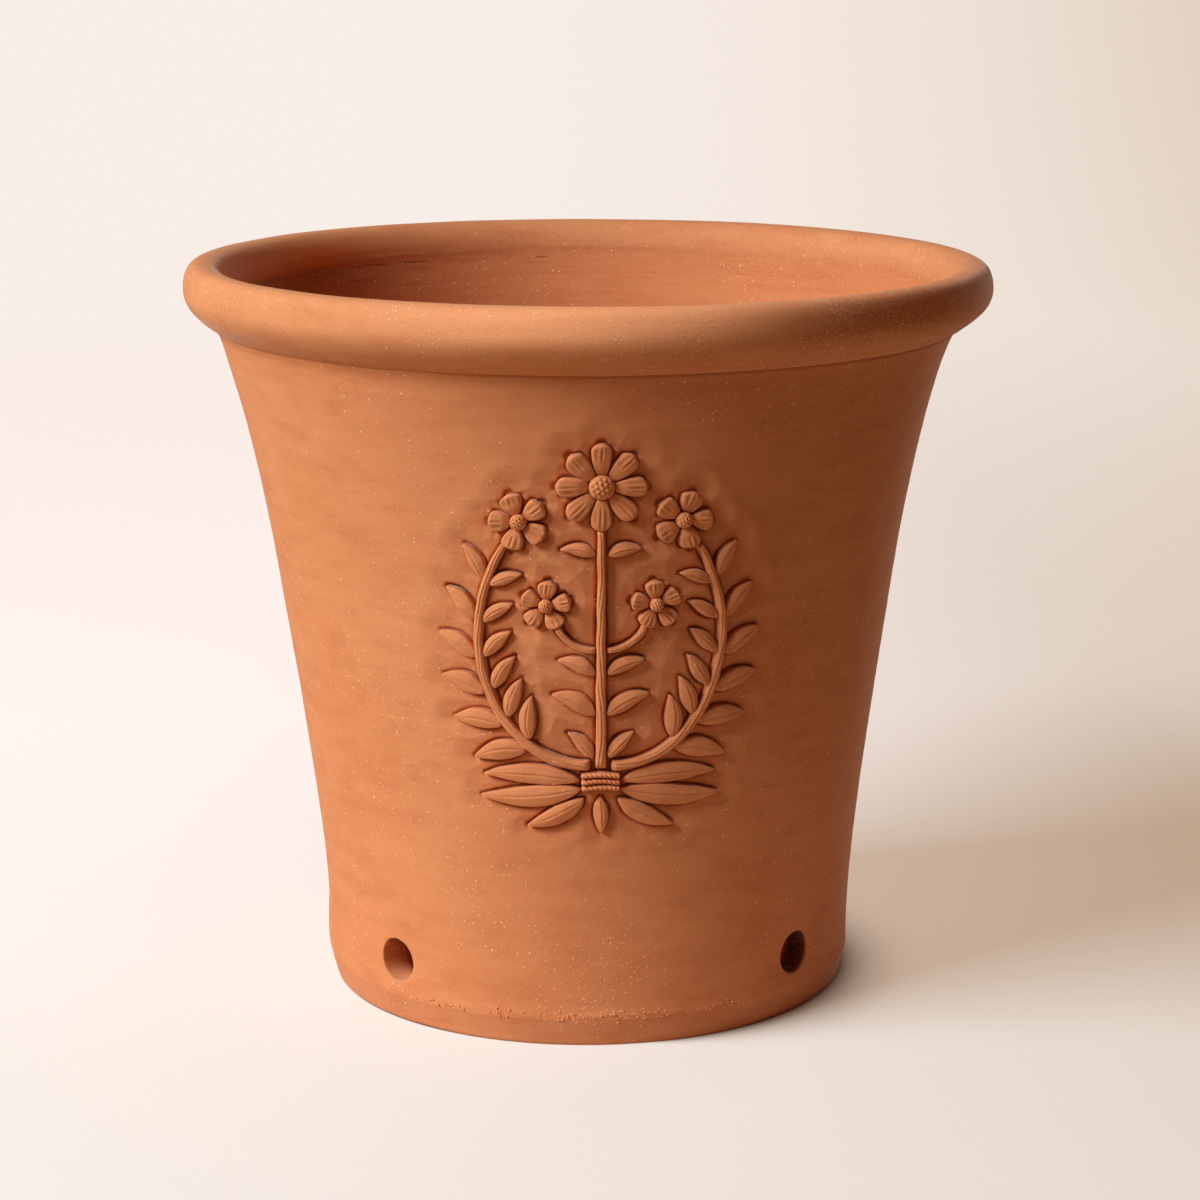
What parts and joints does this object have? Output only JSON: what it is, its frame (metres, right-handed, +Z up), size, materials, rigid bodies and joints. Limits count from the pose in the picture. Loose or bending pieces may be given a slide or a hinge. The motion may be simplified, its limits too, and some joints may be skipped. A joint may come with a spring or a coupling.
{
  "type": "flower pot",
  "caption": "Round terracotta garden pot with a flared wall, a thick rolled rim, side drain holes and a moulded floral spray on the front.",
  "frame": {"origin": "centre of the flat underside that the pot stands on", "axes": "+Z up along the pot's axis, -Y towards the front with the moulded spray, +X to the right of a viewer who faces that front"},
  "size_m": [0.4, 0.4, 0.3645],
  "materials": {
    "body_clay": "matt fired terracotta with faint throwing rings and pale grit",
    "rim_clay": "matt fired terracotta, sponged smooth, with pale grit",
    "foot_clay": "matt fired terracotta, scraped, with crumbs along the ridge",
    "sprig_clay": "matt fired terracotta, pressed and tooled"
  },
  "bodies": {
    "root": {"base_slab": "foot_clay", "pot_wall": "body_clay", "rim_ring": "rim_clay", "centre_stem": "sprig_clay", "branch_left": "sprig_clay", "branch_right": "sprig_clay", "twig_left": "sprig_clay", "twig_right": "sprig_clay", "outer_leaves_left": "sprig_clay", "outer_leaves_right": "sprig_clay", "inner_leaves_left": "sprig_clay", "inner_leaves_right": "sprig_clay", "centre_leaves": "sprig_clay", "fan_leaves": "sprig_clay", "top_petals": "sprig_clay", "top_boss": "sprig_clay", "tip_petals_left": "sprig_clay", "tip_boss_left": "sprig_clay", "tip_petals_right": "sprig_clay", "tip_boss_right": "sprig_clay", "twig_petals_left": "sprig_clay", "twig_boss_left": "sprig_clay", "twig_petals_right": "sprig_clay", "twig_boss_right": "sprig_clay", "tie_band": "sprig_clay"}
  },
  "joints": []
}
